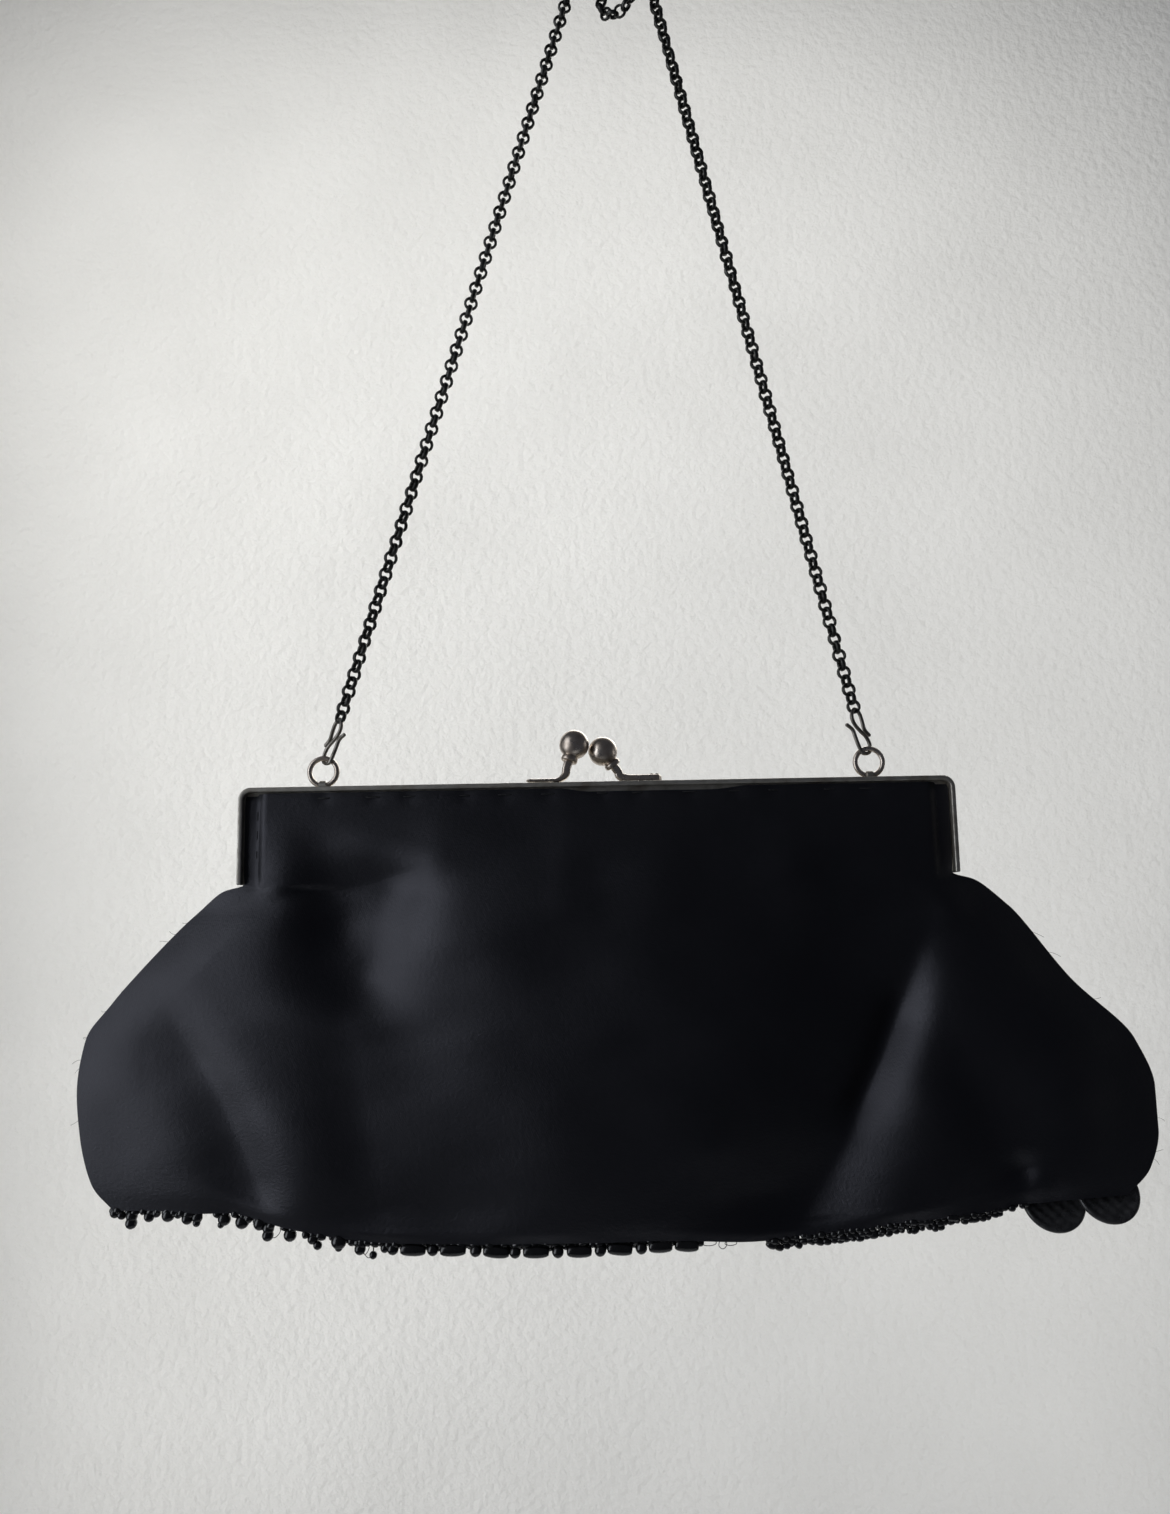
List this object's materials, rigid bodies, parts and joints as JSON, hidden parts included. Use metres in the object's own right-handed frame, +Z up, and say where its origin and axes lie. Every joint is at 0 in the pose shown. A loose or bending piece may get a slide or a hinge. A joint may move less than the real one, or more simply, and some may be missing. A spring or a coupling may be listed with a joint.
{
  "type": "embellished clutch",
  "caption": "Black satin evening clutch on a metal frame with a ball clasp, plain at the back and beaded at the front, hung by its long round-link chain.",
  "frame": {"origin": "the underside of the chain where it lies on top of the hook that the bag hangs from", "axes": "+Z up along the hanging chain, -Y out of the plain satin back, +Y out of the beaded front, +X to the right of someone facing the back"},
  "size_m": [0.2944, 0.0394, 0.4078],
  "materials": {
    "rim_metal": "nickel-plated, worn to a warm grey",
    "dark_metal": "polished dark nickel",
    "chain_metal": "polished gunmetal",
    "satin": "black satin with a soft sheen",
    "jet": "glossy jet black"
  },
  "bodies": {
    "root": {"chain": "chain_metal", "clasp_left": "dark_metal", "clasp_right": "dark_metal", "end_link_left": "chain_metal", "end_link_right": "chain_metal", "frame_back": "rim_metal", "frame_front": "rim_metal", "hem_beads": "jet", "hinge_rivet_left": "dark_metal", "hinge_rivet_right": "dark_metal", "paillette_01": "jet", "paillette_02": "jet", "paillette_03": "jet", "paillette_04": "jet", "paillette_05": "jet", "paillette_06": "jet", "paillette_07": "jet", "paillette_08": "jet", "paillette_09": "jet", "paillette_10": "jet", "paillette_11": "jet", "paillette_12": "jet", "paillette_13": "jet", "paillette_14": "jet", "paillette_15": "jet", "paillette_16": "jet", "paillette_17": "jet", "paillette_18": "jet", "paillette_19": "jet", "paillette_20": "jet", "paillette_21": "jet", "paillette_22": "jet", "paillette_23": "jet", "paillette_24": "jet", "paillette_25": "jet", "paillette_26": "jet", "pouch_back": "satin", "pouch_front": "satin", "ring_left": "dark_metal", "ring_right": "dark_metal", "s_hook_left": "dark_metal", "s_hook_right": "dark_metal"}
  },
  "joints": []
}
